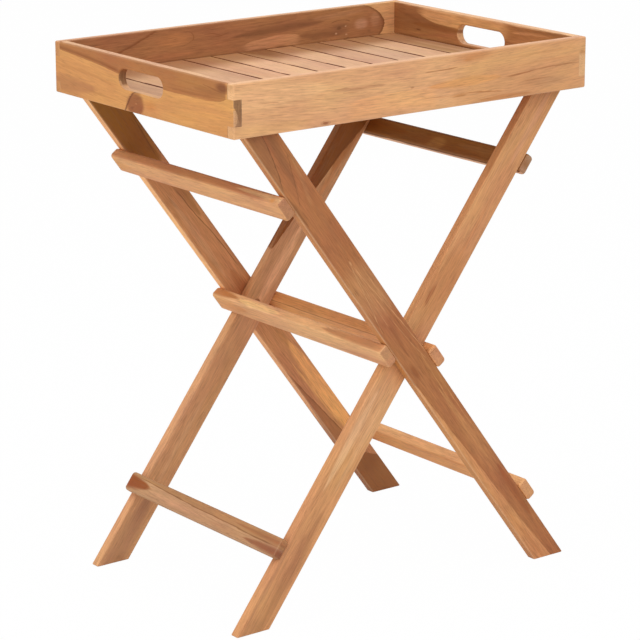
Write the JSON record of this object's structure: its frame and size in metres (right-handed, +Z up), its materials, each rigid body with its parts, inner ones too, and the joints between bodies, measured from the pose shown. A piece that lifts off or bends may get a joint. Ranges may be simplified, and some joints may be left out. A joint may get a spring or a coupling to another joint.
{
  "type": "tray table",
  "caption": "Wooden butler's tray table: a slatted tray with finger-jointed corners and oval hand slots that lifts off a folding cross-legged stand with rails.",
  "frame": {"origin": "on the floor, under the middle of the tray", "axes": "+X to the right along the tray's long side, +Y from the front board to the back board, +Z up"},
  "size_m": [0.603, 0.42, 0.76],
  "materials": {
    "board_teak": "oiled, matte",
    "slat_teak": "oiled, matte",
    "stand_teak": "oiled, matte",
    "dowel_beech": "bare, fluted",
    "steel": "zinc plated",
    "brass": "bare"
  },
  "bodies": {
    "outer_frame": {"outer_front_leg": "stand_teak", "outer_back_leg": "stand_teak", "outer_upper_rail": "stand_teak", "outer_lower_rail": "stand_teak", "left_stop_rail": "stand_teak", "right_stop_rail": "stand_teak", "outer_rail_dowels": "dowel_beech", "front_pivot_bolt": "steel", "back_pivot_bolt": "steel", "front_pivot_insert": "brass", "back_pivot_insert": "brass", "front_pivot_washer": "steel", "back_pivot_washer": "steel"},
    "inner_frame": {"inner_front_leg": "stand_teak", "inner_back_leg": "stand_teak", "inner_upper_rail": "stand_teak", "inner_lower_rail": "stand_teak", "inner_rail_dowels": "dowel_beech"},
    "tray": {"tray_front_board": "board_teak", "tray_back_board": "board_teak", "tray_left_end": "board_teak", "tray_right_end": "board_teak", "tray_slat_01": "slat_teak", "tray_slat_02": "slat_teak", "tray_slat_03": "slat_teak", "tray_slat_04": "slat_teak", "tray_slat_05": "slat_teak", "tray_slat_06": "slat_teak", "tray_slat_07": "slat_teak", "tray_slat_08": "slat_teak", "tray_slat_09": "slat_teak", "tray_slat_10": "slat_teak", "tray_slat_11": "slat_teak", "tray_slat_12": "slat_teak", "front_ledger": "slat_teak", "back_ledger": "slat_teak", "slat_screws": "steel"}
  },
  "joints": [
    {"name": "stand_fold", "type": "hinge", "parent": "outer_frame", "child": "inner_frame", "pos_m": [0.0065, 0, 0.3475], "axis": [0, -1, 0], "range_deg": [0, 72]},
    {"name": "tray_lift", "type": "slide", "parent": "outer_frame", "child": "tray", "axis": [0, 0, 1], "range_m": [0, 0.38]}
  ],
  "couplings": [
    {"joint": "tray_lift", "follows": "stand_fold", "m_per_rad": 0.3}
  ]
}
